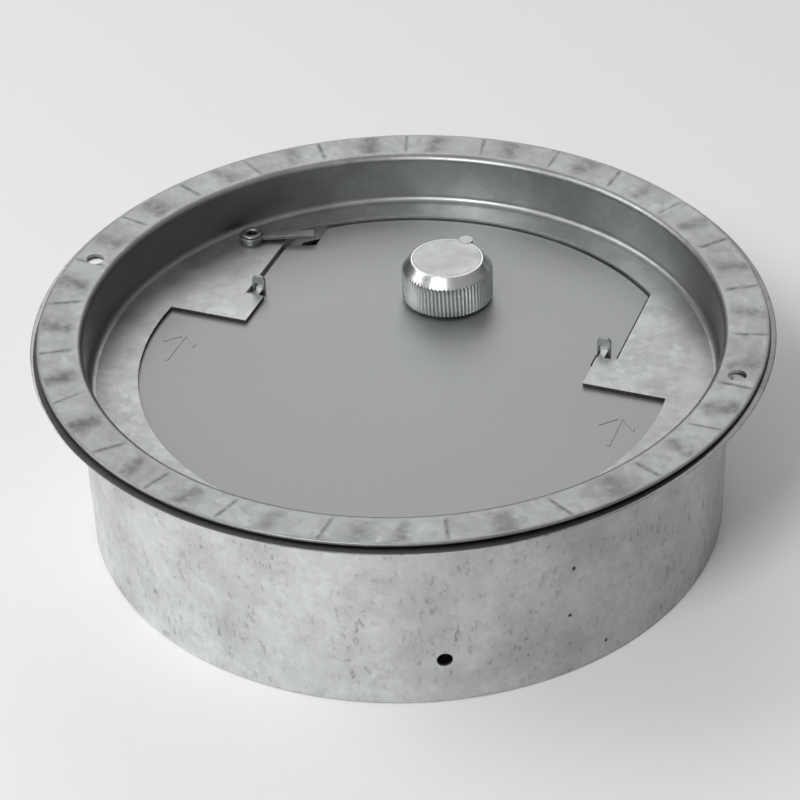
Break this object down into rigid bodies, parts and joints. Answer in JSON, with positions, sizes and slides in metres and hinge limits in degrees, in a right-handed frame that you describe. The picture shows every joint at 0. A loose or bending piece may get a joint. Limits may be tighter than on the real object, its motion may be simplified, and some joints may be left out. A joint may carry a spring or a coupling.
{
  "type": "draft stabilizer",
  "caption": "Round galvanised draft stabilizer: flanged collar with a dished front ring, a balanced swing disc with a knurled adjusting knob, and a small lock lever.",
  "frame": {"origin": "middle of the collar's open end, on the surface that the part lies on", "axes": "+Z out of the face, +X along the hinge line of the disc, +Y towards the top of the face as it is fitted"},
  "size_m": [0.1692, 0.1692, 0.0504],
  "materials": {
    "galvanised_collar": "hot-dip galvanised sheet with a fine spangle",
    "galvanised_ring": "pressed galvanised sheet, satin with darker press marks on the flange",
    "disc_sheet": "fine matt rolled sheet",
    "turned_aluminium": "turned and knurled aluminium",
    "plated_steel": "zinc-plated steel, satin",
    "brass_spindle": "turned brass"
  },
  "bodies": {
    "housing": {"collar": "galvanised_collar", "front_ring": "galvanised_ring", "lever_washer": "plated_steel", "lever_rivet": "plated_steel"},
    "disc": {"swing_disc": "disc_sheet", "spindle": "brass_spindle", "spindle_nuts": "plated_steel", "spindle_washers": "plated_steel"},
    "knob": {"knob": "turned_aluminium", "scale_cap": "turned_aluminium"},
    "lever": {"lock_lever": "plated_steel"}
  },
  "joints": [
    {"name": "disc_swing", "type": "hinge", "parent": "housing", "child": "disc", "pos_m": [0, 0.0179, 0.0368], "axis": [1, 0, 0], "range_deg": [0, 65]},
    {"name": "knob_turn", "type": "hinge", "parent": "disc", "child": "knob", "pos_m": [0, 0.0304, 0.0369], "axis": [0, 0, 1], "continuous": true},
    {"name": "lever_swivel", "type": "hinge", "parent": "housing", "child": "lever", "pos_m": [-0.0548, 0.0384, 0.0379], "axis": [0, 0, 1], "range_deg": [0, 32]}
  ]
}
